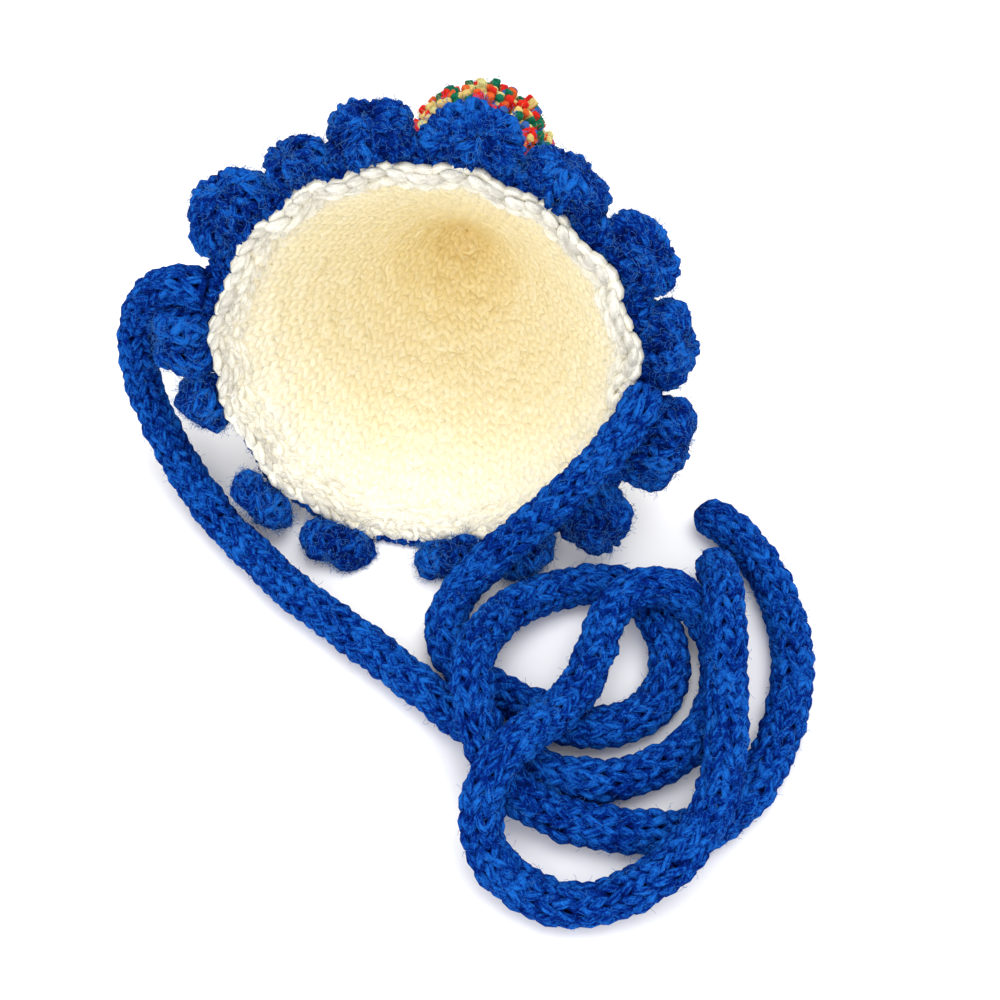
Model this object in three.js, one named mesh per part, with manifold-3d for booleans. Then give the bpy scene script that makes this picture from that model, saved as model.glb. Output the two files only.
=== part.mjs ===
// A knitted party hat for a small head, lying on its side: mouth towards -Y, tip towards +Y.
// Lengths are in millimetres, +Z is up, and the hat lies on the plane z = 0.
import * as THREE from "three";
import { mergeVertices } from "three/addons/utils/BufferGeometryUtils.js";
import Module from "manifold-3d";

const radians = THREE.MathUtils.degToRad;

// Clearance between pieces that touch
const GAP = 0.3;

// Crown: a cone of knitted fabric whose axis dips towards the tip, so that its underside lies flat
const WALL = 2.8;
const MOUTH_CENTRE = new THREE.Vector3(-1.2, -41.2, 42.4);
const AXIS_DIP = radians(28);
const OVAL = 0.955; // height of a section for its width
const CROWN_SEGMENTS = 60;
const CROWN_LIP = 1.3; // how far the rounded edge stands out of the mouth plane
const CROWN_SECTIONS = [
  { along: 0, radius: 49.4 },
  { along: 7, radius: 46.4 },
  { along: 22, radius: 39 },
  { along: 40, radius: 29.9 },
  { along: 58, radius: 20.5 },
  { along: 76, radius: 11 },
  { along: 87, radius: 5 },
];
const INNER_TIP = 92;
const OUTER_TIP = 96;
const TIP_LIFT = 5.2; // how far the tip curls up from the straight axis
const TIP_DRIFT = -1.2; // and how far it leans sideways

// Ruffle: each bobble pulls the edge of the mouth out a little, and the wave dies out up the crown
const RUFFLE = 0.018; // share of the radius
const RUFFLE_REACH = 9;

// Edging: a narrow knitted band round the mouth, standing out from it, and leaning forward on the floor
const BAND_WIDTH = 3.2;
const BAND_THICKNESS = 3.6;
const BAND_SIDES = 8;
const FLOOR_LEAN = radians(62); // at the lowest point the edging lies along the floor
const LEAN_STARTS = 0.5; // sine of the angle below the middle where it begins to lean
const LEAN_ENDS = 0.92;

// Bobbles: angle from +X round the mouth, size along the rim, away from it and through
const BOBBLES = [
  { angle: 104, width: 22, length: 10, depth: 13 },
  { angle: 80, width: 22, length: 10.5, depth: 13 },
  { angle: 57, width: 20.5, length: 9.5, depth: 12 },
  { angle: 33.5, width: 20.5, length: 10.5, depth: 12 },
  { angle: 10.5, width: 20, length: 9, depth: 11 },
  { angle: -15, width: 24, length: 12.5, depth: 11 },
  { angle: -40, width: 17, length: 10.5, depth: 10 },
  { angle: -59, width: 15.5, length: 8.5, depth: 9 },
  { angle: -79, width: 15.5, length: 8, depth: 9 },
  { angle: -109.5, width: 17, length: 9, depth: 9 },
  { angle: -133, width: 17, length: 8.5, depth: 8.5 },
  { angle: -163.5, width: 15.5, length: 8.5, depth: 10 },
  { angle: -179, width: 15, length: 9.5, depth: 10 },
  { angle: 143.5, width: 22, length: 10.5, depth: 12 },
  { angle: 122.5, width: 13.5, length: 7, depth: 11 },
];
const BOBBLE_FULLNESS = 2.8; // 2 is an ellipsoid, more is a fuller pad
const BOBBLE_REST = 3.6; // lowest height of a bobble's middle on the floor

// Pompom: cut yarn bound into a ball behind the tip, flattened a little where it lies
const POMPOM_CENTRE = new THREE.Vector3(-0.2, 54.8, 21.2);
const POMPOM_RADIUS = 21.6;
const POMPOM_CORE = 17;
const LOCK_COUNT = 68;
const LOCK_ROOT = 4;
const LOCK_END = 2.5;
const LOCK_SIDES = 5;
const LOCK_SPREAD = 1.5; // how unevenly the yarn ends are cut

// Ties: two knitted cords, from the band down to the floor and round the loose coil they lie in
const TIE_DIAMETER = 9;
const TIE_SIDES = 10;
const TIE_LEFT_STEPS = 44;
const TIE_RIGHT_STEPS = 37;
const TIE_LEFT_ROUTE = [
  [-54, -35.5, 54.8], [-60, -34.5, 55.1], [-67, -33.5, 50.6], [-72.5, -34, 42], [-74.5, -37, 32],
  [-73, -42, 21.5], [-67.2, -49.3, 12], [-58, -59.9, 6.2], [-45, -72.3, 4.9], [-27.5, -86, 4.8],
  [-6.5, -99.5, 4.8], [11, -111, 5], [20.5, -117.5, 5.2], [30.5, -123, 4.9], [42, -127, 4.8],
  [54, -126.5, 4.8], [65, -121.5, 4.8], [73, -112.5, 4.8], [77, -100.5, 4.8], [76, -90, 5.2],
  [71, -83, 9.8], [63.5, -80.5, 14], [55.5, -82, 14.5], [49.5, -88.5, 12.4], [47.5, -98.5, 12.2],
  [45, -108.5, 14.6], [39.5, -118.5, 17.2], [32.5, -127.5, 20.6], [27.5, -135, 19.6], [26, -142.5, 14],
  [28.5, -149.2, 8], [36.5, -154.6, 5.1], [47, -157, 4.8], [59, -153.5, 6.6], [70, -145.5, 12.6],
  [76.4, -133.5, 14.8], [78.2, -116.5, 14.6], [77.4, -99.5, 14.9], [76.2, -86, 17], [75.4, -77.5, 15.2],
  [74.5, -70, 8.6], [73.5, -64, 4.9],
];
const TIE_RIGHT_ROUTE = [
  [52.5, -45, 43.2], [51.5, -50, 44], [48.4, -54.5, 40], [42.2, -60.1, 32.3], [34.2, -66.2, 24.7],
  [26, -71.7, 18], [18.6, -77.6, 12.4], [12.5, -84, 7.2], [10.5, -92.5, 4.9], [14, -100.5, 4.8],
  [21.5, -106, 4.8], [31, -110, 4.8], [42, -114, 4.8], [52, -113.5, 4.8], [61, -108, 4.8], [65, -98.5, 4.8],
  [63.5, -87.5, 4.8], [58, -79, 4.8], [49, -75, 4.8], [38, -77.5, 5], [28, -84.5, 7], [22, -94.5, 12],
  [19.5, -104.5, 15.8], [20.5, -114.5, 16.8], [23.5, -123.5, 14.8], [29.5, -131.5, 9.8], [39, -136.5, 5.4],
  [51, -138.5, 4.8], [63, -138.5, 4.8], [75, -136, 4.8], [84, -127.5, 4.8], [90, -115.5, 4.8],
  [93.5, -102.5, 4.8], [94, -89.5, 4.8], [91, -75.5, 4.8], [84, -61.5, 4.8],
  [76, -53.2, 4.8], [68.8, -50.2, 4.8],
];

// Directions of the lying hat: across the mouth, from the mouth to the tip, and up across the mouth
const across = new THREE.Vector3(1, 0, 0);
const axis = new THREE.Vector3(0, Math.cos(AXIS_DIP), -Math.sin(AXIS_DIP));
const rise = new THREE.Vector3(0, Math.sin(AXIS_DIP), Math.cos(AXIS_DIP));
const front = axis.clone().negate();

const { clamp } = THREE.MathUtils;
const group = new THREE.Group();
group.name = "party_hat";

// Weld the seam of a closed surface and drop the empty triangles at its poles
function weld(geometry) {
  geometry.deleteAttribute("uv");
  geometry.deleteAttribute("normal");
  const welded = mergeVertices(geometry, 1e-3);
  const index = welded.getIndex();
  const kept = [];
  for (let i = 0; i < index.count; i += 3) {
    const [a, b, c] = [index.getX(i), index.getX(i + 1), index.getX(i + 2)];
    if (a !== b && b !== c && c !== a) kept.push(a, b, c);
  }
  welded.setIndex(kept);
  welded.computeVertexNormals();
  return welded;
}

// Move every vertex of a geometry
function reshape(geometry, move) {
  const position = geometry.getAttribute("position");
  const point = new THREE.Vector3();
  for (let i = 0; i < position.count; i++) {
    const moved = move(point.fromBufferAttribute(position, i), i);
    position.setXYZ(i, moved.x, moved.y, moved.z);
  }
  return geometry;
}

function add(name, geometry, colour, roughness) {
  const material = new THREE.MeshStandardMaterial({ color: colour, roughness });
  const mesh = new THREE.Mesh(geometry, material);
  mesh.name = name;
  group.add(mesh);
}

// The edge between neighbouring bobbles: 1 at each of them and -1 half way
const bobbleAngles = BOBBLES.map(({ angle }) => radians(angle)).sort((a, b) => a - b);
function ruffle(angle) {
  const last = bobbleAngles.findLast((a) => a <= angle) ?? bobbleAngles.at(-1) - Math.PI * 2;
  const next = bobbleAngles.find((a) => a > angle) ?? bobbleAngles[0] + Math.PI * 2;
  return Math.cos(((angle - last) / (next - last)) * Math.PI * 2);
}

// A point of the crown: angle from +X round the mouth, radius across it and distance along the axis
function hatPoint(angle, radius, along) {
  const ruffled = radius * (1 + RUFFLE * ruffle(angle) * Math.exp(-Math.max(along, 0) / RUFFLE_REACH));
  const curl = (along / INNER_TIP) ** 2;
  return MOUTH_CENTRE.clone()
    .addScaledVector(across, ruffled * Math.cos(angle) + TIP_DRIFT * curl)
    .addScaledVector(rise, ruffled * OVAL * Math.sin(angle) + TIP_LIFT * curl)
    .addScaledVector(axis, along);
}

// Lowest height of a point: the fabric lies on the floor
function rested(point, height) {
  point.z = Math.max(point.z, height);
  return point;
}

// Crown
const slope = Math.atan2(CROWN_SECTIONS[0].radius, INNER_TIP);
const halfWall = WALL / 2 / Math.cos(slope);
const insideRows = CROWN_SECTIONS.toReversed().map(({ along, radius }) => new THREE.Vector2(radius - halfWall, along));
const outsideRows = CROWN_SECTIONS.map(({ along, radius }) => new THREE.Vector2(radius + halfWall, along));
const crownProfile = [
  new THREE.Vector2(0, INNER_TIP),
  ...insideRows,
  new THREE.Vector2(CROWN_SECTIONS[0].radius, -CROWN_LIP),
  ...outsideRows,
  new THREE.Vector2(0, OUTER_TIP),
];

function revolve(profile, segments, place) {
  return reshape(new THREE.LatheGeometry(profile, segments), (point, i) => {
    return place(Math.atan2(point.z, point.x), Math.hypot(point.x, point.z), point.y, i % profile.length);
  });
}

const crown = revolve(crownProfile, CROWN_SEGMENTS, (angle, radius, along, row) => {
  const inside = row <= insideRows.length;
  return rested(hatPoint(angle, radius, along), inside ? WALL : 0);
});
add("crown", weld(crown), 0xf4eedb, 0.95);

// Frame on the rim: along it, away from it, and through the edging
function rimFrame(angle) {
  const start = rested(hatPoint(angle, CROWN_SECTIONS[0].radius, 0), WALL / 2);
  const along = across.clone().multiplyScalar(-Math.sin(angle)).addScaledVector(rise, OVAL * Math.cos(angle)).normalize();
  const radial = across.clone().multiplyScalar(OVAL * Math.cos(angle)).addScaledVector(rise, Math.sin(angle)).normalize();
  const lean = FLOOR_LEAN * clamp((-Math.sin(angle) - LEAN_STARTS) / (LEAN_ENDS - LEAN_STARTS), 0, 1);
  const out = radial.multiplyScalar(Math.cos(lean)).addScaledVector(front, Math.sin(lean));
  return { start, along, out, through: along.clone().cross(out) };
}

// Band of the edging
const bandStart = halfWall + GAP;
const bandEnd = bandStart + BAND_WIDTH;
const bandRadius = CROWN_SECTIONS[0].radius;
const bandProfile = [];
for (let i = 0; i <= BAND_SIDES; i++) {
  const turn = (i / BAND_SIDES) * Math.PI * 2;
  const out = bandStart + (BAND_WIDTH / 2) * (1 + Math.cos(turn));
  bandProfile.push(new THREE.Vector2(bandRadius + out, (BAND_THICKNESS / 2) * Math.sin(turn)));
}
const band = revolve(bandProfile, CROWN_SEGMENTS, (angle, radius, depth) => {
  const { start, out, through } = rimFrame(angle);
  return rested(start.addScaledVector(out, radius - bandRadius).addScaledVector(through, depth), 0);
});
add("edging_band", weld(band), 0x1f57b8, 0.95);

// Bobbles
BOBBLES.forEach(({ angle, width, length, depth }, i) => {
  const { start, along, out, through } = rimFrame(radians(angle));
  const centre = rested(start.addScaledVector(out, bandEnd + GAP + length / 2), BOBBLE_REST);
  const bobble = reshape(new THREE.SphereGeometry(1, 14, 9), (p) => {
    const sum = Math.abs(p.x) ** BOBBLE_FULLNESS + Math.abs(p.y) ** BOBBLE_FULLNESS + Math.abs(p.z) ** BOBBLE_FULLNESS;
    p.multiplyScalar(sum ** (-1 / BOBBLE_FULLNESS));
    const moved = centre.clone()
      .addScaledVector(along, (p.x * width) / 2)
      .addScaledVector(out, (p.y * length) / 2)
      .addScaledVector(through, (p.z * depth) / 2);
    return rested(moved, 0);
  });
  add(`bobble_${String(i + 1).padStart(2, "0")}`, weld(bobble), 0x1f57b8, 0.95);
});

// Pompom: locks of yarn standing out of a core, cut off by the floor and hollowed by the crown's tip
const { Manifold, Mesh } = await Module().then((module) => {
  module.setup();
  return module;
});

function toSolid(geometry) {
  const welded = weld(geometry);
  return new Manifold(new Mesh({
    numProp: 3,
    vertProperties: new Float32Array(welded.getAttribute("position").array),
    triVerts: new Uint32Array(welded.getIndex().array),
  }));
}

function toGeometry(solid) {
  const { vertProperties, triVerts } = solid.getMesh();
  const geometry = new THREE.BufferGeometry();
  geometry.setAttribute("position", new THREE.BufferAttribute(new Float32Array(vertProperties), 3));
  geometry.setIndex(Array.from(triVerts));
  geometry.computeVertexNormals();
  return geometry;
}

const pompomPieces = [toSolid(new THREE.SphereGeometry(POMPOM_CORE, 20, 12).translate(...POMPOM_CENTRE.toArray()))];
for (let i = 0; i < LOCK_COUNT; i++) {
  const height = 1 - (2 * (i + 0.5)) / LOCK_COUNT;
  const turn = i * Math.PI * (3 - Math.sqrt(5));
  const round = Math.sqrt(1 - height * height);
  const direction = new THREE.Vector3(round * Math.cos(turn), round * Math.sin(turn), height);
  const reach = POMPOM_RADIUS + LOCK_SPREAD * Math.sin(i * 2.4) * Math.cos(i * 1.7);
  const root = POMPOM_CORE * 0.7;
  const lock = new THREE.CylinderGeometry(LOCK_END, LOCK_ROOT, reach - root, LOCK_SIDES);
  lock.rotateY(i);
  lock.translate(0, (reach + root) / 2, 0);
  lock.applyQuaternion(new THREE.Quaternion().setFromUnitVectors(new THREE.Vector3(0, 1, 0), direction));
  pompomPieces.push(toSolid(lock.translate(...POMPOM_CENTRE.toArray())));
}
const tipProfile = [
  new THREE.Vector2(0, CROWN_SECTIONS[2].along),
  ...outsideRows.slice(2).map(({ x, y }) => new THREE.Vector2(x + GAP, y)),
  new THREE.Vector2(0, OUTER_TIP + 2 * GAP),
];
const tip = revolve(tipProfile, CROWN_SEGMENTS, (angle, radius, along) => hatPoint(angle, radius, along));
const floor = new THREE.BoxGeometry(100, 100, 100).translate(POMPOM_CENTRE.x, POMPOM_CENTRE.y, -50);
const pompom = Manifold.union(pompomPieces).subtract(toSolid(tip)).subtract(toSolid(floor));
add("pompom", toGeometry(pompom), 0xb9863c, 1);

// Ties
function tie(route, steps) {
  const corners = [];
  for (let i = 0; i < TIE_SIDES; i++) {
    const turn = (i / TIE_SIDES) * Math.PI * 2;
    corners.push(new THREE.Vector2(Math.cos(turn), Math.sin(turn)).multiplyScalar(TIE_DIAMETER / 2));
  }
  const section = new THREE.Shape(corners);
  const path = new THREE.CatmullRomCurve3(route.map((point) => new THREE.Vector3(...point)));
  return weld(new THREE.ExtrudeGeometry(section, { steps, bevelEnabled: false, extrudePath: path }));
}
add("tie_left", tie(TIE_LEFT_ROUTE, TIE_LEFT_STEPS), 0x1f57b8, 0.95);
add("tie_right", tie(TIE_RIGHT_ROUTE, TIE_RIGHT_STEPS), 0x1f57b8, 0.95);

export default group;
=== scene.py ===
# A knitted party hat for a small head, lying on its side with its ties loosely coiled in front of it.
# Lengths are in metres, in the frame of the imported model: mouth towards -Y, tip towards +Y, floor at z = 0.
import math

import bmesh
import bpy
import numpy as np
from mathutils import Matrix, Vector


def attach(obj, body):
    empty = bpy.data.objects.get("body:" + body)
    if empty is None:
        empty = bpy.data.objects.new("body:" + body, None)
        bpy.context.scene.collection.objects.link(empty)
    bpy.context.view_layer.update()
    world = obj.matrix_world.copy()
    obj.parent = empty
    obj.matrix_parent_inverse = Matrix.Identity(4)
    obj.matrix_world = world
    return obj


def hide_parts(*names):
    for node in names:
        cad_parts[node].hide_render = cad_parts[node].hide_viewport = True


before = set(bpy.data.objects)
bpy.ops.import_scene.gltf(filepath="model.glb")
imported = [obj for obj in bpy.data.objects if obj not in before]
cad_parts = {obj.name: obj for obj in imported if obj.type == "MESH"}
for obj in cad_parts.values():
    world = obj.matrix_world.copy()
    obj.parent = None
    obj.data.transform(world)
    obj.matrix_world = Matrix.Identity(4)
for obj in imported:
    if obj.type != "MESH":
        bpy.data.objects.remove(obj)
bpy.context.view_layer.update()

# Camera
# A plain camera above and in front of the mouth, looking steeply down on the hat and its ties.
CAMERA_PLACE = Vector((0.04663, -0.27732, 0.32774))
CAMERA_TARGET = Vector((0.01866, -0.04954, 0.0))
FIELD_OF_VIEW = math.radians(36)
SENSOR_WIDTH = 36  # in millimetres

camera_data = bpy.data.cameras.new("camera")
camera_data.sensor_width = SENSOR_WIDTH
camera_data.lens = SENSOR_WIDTH / 2 / math.tan(FIELD_OF_VIEW / 2)
camera = bpy.data.objects.new("camera", camera_data)
camera.location = CAMERA_PLACE
camera.rotation_euler = (CAMERA_TARGET - CAMERA_PLACE).to_track_quat("-Z", "Y").to_euler()
bpy.context.collection.objects.link(camera)
bpy.context.scene.camera = camera

# Ties
# Two limp cords in thick blue wool, each knitted as a tube six stitches round and sewn to the band.
# They drop from the band to the floor and lie there in a loose coil. Their free ends are drawn closed.
MM = 0.001
TURN = 2 * math.pi
TIE_STITCHES = 6
TIE_ROW = 3.6 * MM
TIE_RADIUS = 3.55 * MM  # to the middle of the yarn
TIE_YARN = 1.1 * MM
TIE_STAND = 0.75 * MM  # how far a stitch rises and dips in the cord's surface
TIE_LOWEST = 1.25 * TIE_YARN  # height of the yarn where the cord lies on the floor
TIE_CLOSED = 4.0 * MM  # length over which the free end is drawn in
TIE_END_OPEN = 0.02
TIE_GROOVE = 0.7 * MM  # depth of the groove where the yarn passes across the back of the tube
TIE_GROOVE_AT = 1.2
TIE_GROOVE_SLIM = 8
TIE_CORE = 2.9 * MM  # radius of the inside of the tube, a dark core painted as the shade between the stitches
TIE_CORE_START = 1 * MM
TIE_CORE_STEP = 3 * MM
TIE_CORE_LEFT = 3 * MM  # what the free end has beyond it
# Tone of the dark cores in the ties, band and bobbles: painted shade between the stitches
CORE_SHADE_TONE = -0.35
CORE_SIDES = 8
TIE_FLUFF = 2.4 * MM
TIE_FIBRES = 2900
# How uneven the hand knitting is: along the cord, out from it, round it, in the yarn and in its dye
TIE_UNEVEN_ALONG = 0.35 * MM
TIE_UNEVEN_OUT = 0.25 * MM
TIE_UNEVEN_ROUND = 0.14
TIE_UNEVEN_YARN = 0.08
TIE_UNEVEN_DYE = 0.06
TIE_STAND_SHADING = 0.2  # how much paler a stitch is painted where it rises, as highlight, and darker where it dips, as shade
STRETCH = {"tie_left": 0.0, "tie_right": 0.1}  # how much slimmer the cord is where it hangs from the band
STRETCH_REACH = 70 * MM
LEG_LEAN = 0.28  # share of a stitch that a leg leans
LOOP_REACH = 0.78  # share of a row that a loop reaches up and down
STITCH_POINTS = 12
YARN_SIDES = 6
FIBRE_RADIUS = 0.04 * MM
FIBRE_POINTS = 4
FIBRE_SIDES = 3
FIBRE_ROOT = 0.85 * MM  # where a fibre leaves the yarn, from the yarn's middle
FIBRE_LOWEST = 0.15 * MM
FIBRE_LIFT = (0.05, 1.3)  # from lying over the yarn to standing out of it
FIBRE_REACH = (0.35, 1.0)
FIBRE_CURL = (0.6, 4.0)  # in radians from root to end
# The wool's finish, in repeats for a metre, and what the streaks and the dye do to its tone
STREAK_REPEATS = (420, 9, 1)  # along the yarn and round it
DYE_REPEATS = 240
HAIR_REPEATS = 620
HAIR_WANDER = 1.2
HAIR_SLIM = 14
STREAK_SHARE = 1.3
DYE_SHARE = 0.45
MIDDLE_TONE = 0.4
BUMP_STRENGTH = 0.6
BUMP_HEIGHT = 0.25 * MM
HAIR_BUMP = 0.6
# Colours from the darkest to the lightest, each at its tone; the painted shade and highlights in the tone
# reach towards the ends
BLUE_WOOL = (
    (0.1, (0.0004, 0.0026, 0.045, 1)),
    (0.5, (0.0006, 0.0155, 0.172, 1)),
    (0.95, (0.008, 0.115, 0.49, 1)),
)
BLUE_FLUFF = ((0.1, (0.01, 0.06, 0.3, 1)), (0.6, (0.09, 0.28, 0.66, 1)))

# Points that each cord passes through from the band to its free end, in millimetres
TIE_ROUTES = {
    "tie_left": [
        (-54, -35.5, 54.8), (-60, -34.5, 55.1), (-67, -33.5, 50.6), (-72.5, -34, 42), (-74.5, -37, 32),
        (-73, -42, 21.5), (-67.2, -49.3, 12), (-58, -59.9, 6.2), (-45, -72.3, 4.9), (-27.5, -86, 4.8),
        (-6.5, -99.5, 4.8), (11, -111, 5), (20.5, -117.5, 5.2), (30.5, -123, 4.9), (42, -127, 4.8),
        (54, -126.5, 4.8), (65, -121.5, 4.8), (73, -112.5, 4.8), (77, -100.5, 4.8), (76, -90, 5.2),
        (71, -83, 9.8), (63.5, -80.5, 14), (55.5, -82, 14.5), (49.5, -88.5, 12.4), (47.5, -98.5, 12.2),
        (45, -108.5, 14.6), (39.5, -118.5, 17.2), (32.5, -127.5, 20.6), (27.5, -135, 19.6), (26, -142.5, 14),
        (28.5, -149.2, 8), (36.5, -154.6, 5.1), (47, -157, 4.8), (59, -153.5, 6.6), (70, -145.5, 12.6),
        (76.4, -133.5, 14.8), (78.2, -116.5, 14.6), (77.4, -99.5, 14.9), (76.2, -86, 17),
        (75.4, -77.5, 15.2), (74.5, -70, 8.6), (73.5, -64, 4.9),
    ],
    "tie_right": [
        (52.5, -45, 43.2), (51.5, -50, 44), (48.4, -54.5, 40), (42.2, -60.1, 32.3), (34.2, -66.2, 24.7),
        (26, -71.7, 18), (18.6, -77.6, 12.4), (12.5, -84, 7.2), (10.5, -92.5, 4.9), (14, -100.5, 4.8),
        (21.5, -106, 4.8), (31, -110, 4.8), (42, -114, 4.8), (52, -113.5, 4.8), (61, -108, 4.8),
        (65, -98.5, 4.8), (63.5, -87.5, 4.8), (58, -79, 4.8), (49, -75, 4.8), (38, -77.5, 5),
        (28, -84.5, 7), (22, -94.5, 12), (19.5, -104.5, 15.8), (20.5, -114.5, 16.8), (23.5, -123.5, 14.8),
        (29.5, -131.5, 9.8), (39, -136.5, 5.4), (51, -138.5, 4.8), (63, -138.5, 4.8), (75, -136, 4.8),
        (84, -127.5, 4.8), (90, -115.5, 4.8), (93.5, -102.5, 4.8), (94, -89.5, 4.8), (91, -75.5, 4.8),
        (84, -61.5, 4.8), (76, -53.2, 4.8), (68.8, -50.2, 4.8),
    ],
}
ROUTE_STEPS = 24  # between neighbouring points of a route
LINE_STEP = 0.5 * MM


def unit(vectors):
    """Vectors of the same directions with a length of 1."""
    return vectors / np.maximum(np.linalg.norm(vectors, axis=-1, keepdims=True), 1e-12)


def blend_at(place, marks, values):
    """Rows of values at places between marks."""
    return np.stack([np.interp(place, marks, values[:, i]) for i in range(values.shape[1])], axis=-1)


def laid_line(route):
    """A smooth line through a tie's route, as close points with their distance from its start."""
    route = np.array(route, dtype=float) * MM
    p = np.vstack([2 * route[0] - route[1], route, 2 * route[-1] - route[-2]])
    gap = np.sqrt(np.linalg.norm(np.diff(p, axis=0), axis=1))[:, None]
    pull = np.diff(p, axis=0) / gap
    leave = pull[:-2] - (p[2:-1] - p[:-3]) / (gap[:-2] + gap[1:-1]) + pull[1:-1]
    meet = pull[1:-1] - (p[3:] - p[1:-2]) / (gap[1:-1] + gap[2:]) + pull[2:]
    leave, meet = leave * gap[1:-1], meet * gap[1:-1]
    start, end = p[1:-2], p[2:-1]
    parts = []
    for s in np.linspace(0, 1, ROUTE_STEPS, endpoint=False):
        parts.append(
            start * (2 * s**3 - 3 * s**2 + 1)
            + leave * (s**3 - 2 * s**2 + s)
            + end * (3 * s**2 - 2 * s**3)
            + meet * (s**3 - s**2)
        )
    line = np.vstack([np.stack(parts, axis=1).reshape(-1, 3), route[-1:]])
    distance = np.append(0, np.cumsum(np.linalg.norm(np.diff(line, axis=0), axis=1)))
    even = np.linspace(0, distance[-1], int(distance[-1] / LINE_STEP))
    return blend_at(even, distance, line), even


def carried_frame(line):
    """Two directions across a line that don't twist round it."""
    ahead = unit(np.gradient(line, axis=0))
    side = np.empty_like(line)
    side[0] = unit(np.cross(ahead[0], (0.0, 0.0, 1.0)))
    for i in range(1, len(line)):
        side[i] = unit(side[i - 1] - ahead[i] * np.dot(side[i - 1], ahead[i]))
    return side, np.cross(ahead, side)


def stitch_row(count, closed):
    """Yarn through a row of stitches: place along the row, height in it, and how far it stands out."""
    t = np.arange(count * STITCH_POINTS + (not closed)) / STITCH_POINTS * TURN
    return t / TURN + LEG_LEAN * np.sin(2 * t), -np.cos(t), -np.cos(2 * t)


def uneven(rng, count, steps):
    """One random value for each stitch, run smoothly from stitch to stitch."""
    knots = rng.normal(size=count)
    return np.interp(np.arange(steps) * count / steps, np.arange(count + 1), np.append(knots, knots[0]))


def strand(lines, facing, radius, closed=False, tone=0.0, sides=YARN_SIDES, finish=0, back=None):
    """Round strands along lines, an array of strands of points each, as a mesh in parts.

    The half of each strand that faces away may have a finish of its own, back, such as a darker copy painted
    as shade.
    """
    lines = lines if lines.ndim == 3 else lines[None]
    facing = facing.reshape(lines.shape)
    many, long = lines.shape[:2]
    if closed:
        ahead = unit(np.roll(lines, -1, axis=1) - np.roll(lines, 1, axis=1))
    else:
        ahead = unit(np.gradient(lines, axis=1))
    side = unit(np.cross(ahead, facing))
    up = np.cross(side, ahead)
    turn = np.arange(sides) / sides * TURN
    radius = np.broadcast_to(radius, (many, long))[:, :, None, None]
    ring = side[:, :, None] * np.cos(turn)[:, None] + up[:, :, None] * np.sin(turn)[:, None]
    points = (lines[:, :, None] + radius * ring).reshape(-1, 3)

    spans = long if closed else long - 1
    b, i, k = np.meshgrid(np.arange(many), np.arange(spans), np.arange(sides), indexing="ij")
    after, round_next = (i + 1) % long, (k + 1) % sides
    corner = [(b * long + i) * sides + k, (b * long + after) * sides + k]
    corner += [(b * long + after) * sides + round_next, (b * long + i) * sides + round_next]
    quads = np.stack(corner, axis=-1).reshape(-1, 4)
    step = np.linalg.norm(np.diff(lines, axis=1, append=lines[:, :1]), axis=2)
    run = np.concatenate([np.zeros((many, 1)), np.cumsum(step, axis=1)], axis=1)
    u0, u1, v0, v1 = run[b, i], run[b, i + 1], k / sides, (k + 1) / sides
    quad_uv = np.stack([u0, v0, u1, v0, u1, v1, u0, v1], axis=-1).reshape(-1, 4, 2)

    if back is not None:
        finish = np.where(k.ravel() < sides // 2, finish, back)
    caps = np.empty((0, sides), dtype=int)
    if not closed:
        start = (np.arange(many) * long * sides)[:, None]
        last = start + (long - 1) * sides
        caps = np.vstack([start + np.arange(sides), last + np.arange(sides)[::-1]])
    return {
        "points": points, "quads": quads, "quad_uv": quad_uv, "caps": caps,
        "tone": np.repeat(np.broadcast_to(tone, (many, long)).reshape(-1), sides), "finish": finish,
    }


def yarn_mesh(name, parts):
    """One mesh of many strands, with the yarn's own UV map and tone."""
    corners, uvs, sizes, finishes, first = [], [], [], [], 0
    for part in parts:
        quads, caps = part["quads"] + first, part["caps"] + first
        corners += [quads.ravel(), caps.ravel()]
        uvs += [part["quad_uv"].reshape(-1, 2), np.zeros((caps.size, 2))]
        sizes += [np.full(len(quads), 4), np.full(len(caps), caps.shape[1])]
        finishes.append(np.broadcast_to(part["finish"], len(quads) + len(caps)))
        first += len(part["points"])
    corners, uvs, sizes = np.concatenate(corners), np.concatenate(uvs), np.concatenate(sizes)
    mesh = bpy.data.meshes.new(name)
    mesh.vertices.add(first)
    mesh.vertices.foreach_set("co", np.concatenate([part["points"] for part in parts]).ravel())
    mesh.loops.add(len(corners))
    mesh.loops.foreach_set("vertex_index", corners)
    mesh.polygons.add(len(sizes))
    mesh.polygons.foreach_set("loop_start", np.cumsum(sizes) - sizes)
    mesh.polygons.foreach_set("material_index", np.concatenate(finishes))
    mesh.update(calc_edges=True)
    mesh.uv_layers.new(name="yarn").uv.foreach_set("vector", uvs.ravel())
    tone = mesh.attributes.new("tone", "FLOAT", "POINT")
    tone.data.foreach_set("value", np.concatenate([part["tone"] for part in parts]))
    mesh.shade_smooth()
    mesh.validate()
    return mesh


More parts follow.
